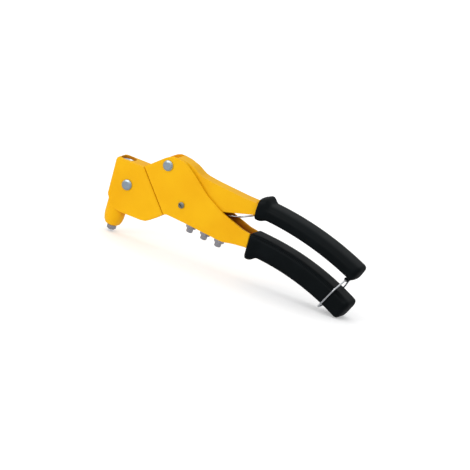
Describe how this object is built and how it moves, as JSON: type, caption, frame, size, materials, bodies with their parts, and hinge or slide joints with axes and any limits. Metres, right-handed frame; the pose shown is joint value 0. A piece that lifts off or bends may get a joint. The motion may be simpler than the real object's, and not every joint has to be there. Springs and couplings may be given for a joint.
{
  "type": "swivel-head hand riveter",
  "caption": "Two-handled hand riveter with a swivelling head, a screw-in nosepiece, spare nosepieces along the frame and a wire bail that latches the handles shut.",
  "frame": {"origin": "centre of the bounding box at the plane of the lowest point, under the end of the lower grip", "axes": "+X from the nose towards the handle ends, +Z from the nose tip up its axis, -Y is the side with the pin heads"},
  "size_m": [0.2748, 0.0282, 0.0942],
  "materials": {
    "enamel": "gloss yellow enamel",
    "grip": "moulded, satin black",
    "zinc": "zinc plated",
    "steel": "turned, oiled",
    "black_steel": "black oxide",
    "spring": "bright spring wire"
  },
  "bodies": {
    "frame": {"frame": "enamel", "lower_grip": "grip", "swivel_hub": "steel", "swivel_ring": "black_steel", "lever_pin": "zinc", "lever_pin_clip": "black_steel", "spring_post": "zinc", "post_screw": "zinc", "post_nut": "zinc", "spare_nosepiece_1": "steel", "spare_nosepiece_2": "steel", "spare_nosepiece_3": "steel"},
    "head": {"head_housing": "enamel", "nosepiece": "steel", "mandrel_plug": "zinc", "head_pin": "zinc", "head_pin_clip": "black_steel", "swivel_washer": "spring", "jaw_spring": "spring"},
    "crank": {"head_crank": "steel"},
    "jaws": {"jaw_case": "steel", "jaw_left": "black_steel", "jaw_right": "black_steel", "jaw_pusher": "zinc", "pusher_spring": "spring"},
    "push_rod": {"push_rod": "zinc"},
    "lever": {"lever": "enamel", "upper_grip": "grip", "bail_lug": "grip"},
    "return_spring": {"return_spring": "spring"},
    "bail": {"wire_bail": "spring"}
  },
  "joints": [
    {"name": "lever_pivot", "type": "hinge", "parent": "frame", "child": "lever", "pos_m": [-0.08145, 0, 0.08425], "axis": [0, -1, 0], "range_deg": [0, 40], "deforming": ["wire_bail"]},
    {"name": "head_swivel", "type": "hinge", "parent": "frame", "child": "head", "pos_m": [-0.09005, 0, 0.05535], "axis": [0.7738, 0, 0.6334], "continuous": true},
    {"name": "rod_slide", "type": "slide", "parent": "frame", "child": "push_rod", "axis": [0.7738, 0, 0.6334], "range_m": [0, 0.0121]},
    {"name": "crank_pivot", "type": "hinge", "parent": "head", "child": "crank", "pos_m": [-0.11835, 0, 0.05145], "axis": [0, -1, 0], "range_deg": [0, 47]},
    {"name": "jaw_slide", "type": "slide", "parent": "head", "child": "jaws", "axis": [0, 0, -1], "range_m": [0, 0.0074], "deforming": ["jaw_spring"]},
    {"name": "spring_turn", "type": "hinge", "parent": "frame", "child": "return_spring", "pos_m": [-0.05775, 0, 0.05165], "axis": [0, -1, 0], "range_deg": [0, 43.5]},
    {"name": "bail_pivot", "type": "hinge", "parent": "lever", "child": "bail", "pos_m": [0.12441, 0, 0.03805], "axis": [0, -1, 0], "range_deg": [0, 110]}
  ],
  "couplings": [
    {"joint": "rod_slide", "follows": "lever_pivot", "m_per_rad": 0.017147},
    {"joint": "crank_pivot", "follows": "lever_pivot", "ratio": 1.16},
    {"joint": "jaw_slide", "follows": "lever_pivot", "m_per_rad": 0.010383},
    {"joint": "spring_turn", "follows": "lever_pivot", "ratio": 1.07}
  ]
}
